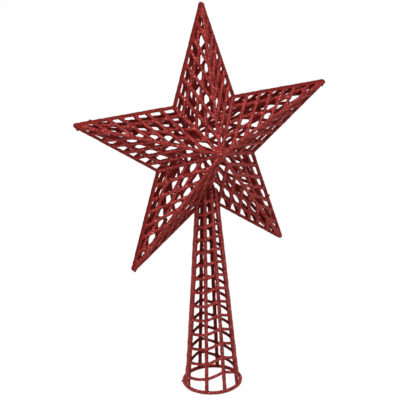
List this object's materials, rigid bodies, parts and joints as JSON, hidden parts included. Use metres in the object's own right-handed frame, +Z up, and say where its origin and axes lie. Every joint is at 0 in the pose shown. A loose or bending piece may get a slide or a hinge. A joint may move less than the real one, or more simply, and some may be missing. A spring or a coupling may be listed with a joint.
{
  "type": "glitter star tree topper",
  "caption": "Openwork five-pointed star of two lattice shells on a tapered lattice socket that slips over the tip of a tree.",
  "frame": {"origin": "centre of the foot ring, on the surface that the ring rests on", "axes": "+Z up along the socket to the star's top tip, -Y towards the front face of the star, +X to the right seen from the front"},
  "size_m": [0.2238, 0.0558, 0.3321],
  "materials": {
    "red_glitter": "moulded plastic coated in fine red glitter"
  },
  "bodies": {
    "root": {"front_star_shell": "red_glitter", "back_star_shell": "red_glitter", "front_socket_half": "red_glitter", "back_socket_half": "red_glitter", "foot_ring": "red_glitter"}
  },
  "joints": []
}
